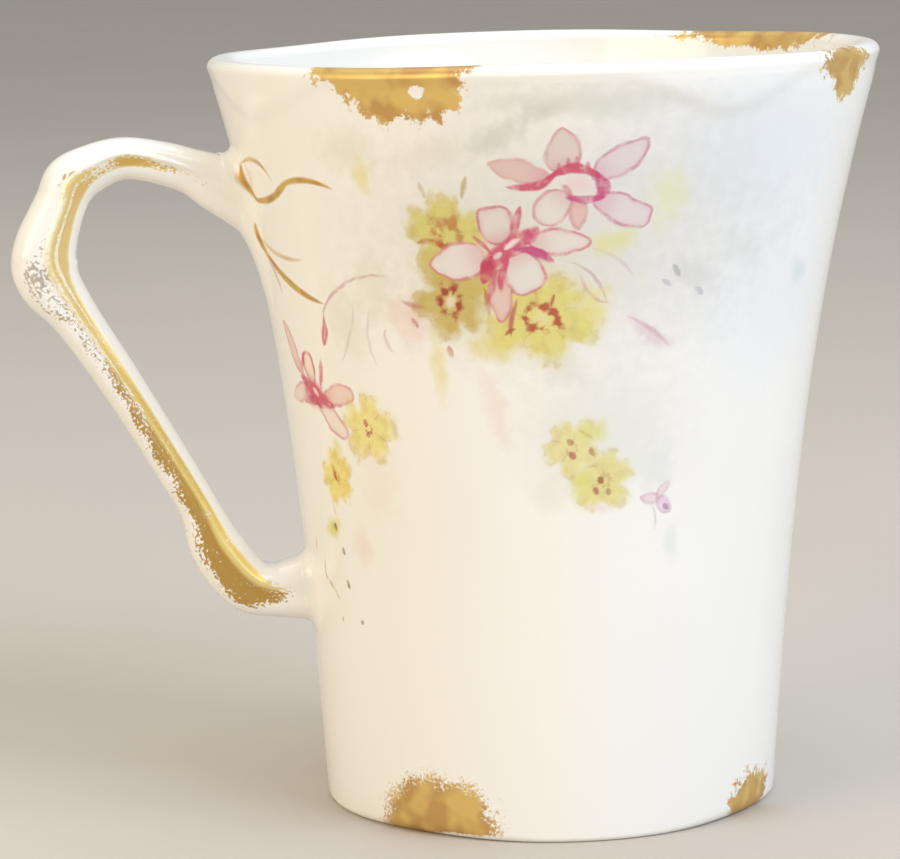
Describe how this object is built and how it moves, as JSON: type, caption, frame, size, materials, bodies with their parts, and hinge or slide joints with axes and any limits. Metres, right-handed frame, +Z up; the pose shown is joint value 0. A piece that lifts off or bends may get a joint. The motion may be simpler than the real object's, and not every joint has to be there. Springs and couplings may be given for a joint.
{
  "type": "chocolate cup",
  "caption": "Tall porcelain chocolate cup with a flared, softly lobed lip, a flat foot ring and a slim twig-shaped loop handle on one side.",
  "frame": {"origin": "on the surface that the cup stands on, under the middle of the cup with its handle", "axes": "+Z up along the cup's axis, -X towards the handle, -Y towards the decorated front"},
  "size_m": [0.0892, 0.0688, 0.078],
  "materials": {
    "glazed_porcelain": "clear feldspar glaze over white porcelain, with overglaze flower sprays and sponged gilding",
    "gilded_porcelain": "clear glaze over white porcelain, with worn gilding along the grooves",
    "fired_slip": "porcelain slip fired under the same clear glaze"
  },
  "bodies": {
    "root": {"cup_body": "glazed_porcelain", "handle": "gilded_porcelain", "upper_slip_joint": "fired_slip", "lower_slip_joint": "fired_slip"}
  },
  "joints": []
}
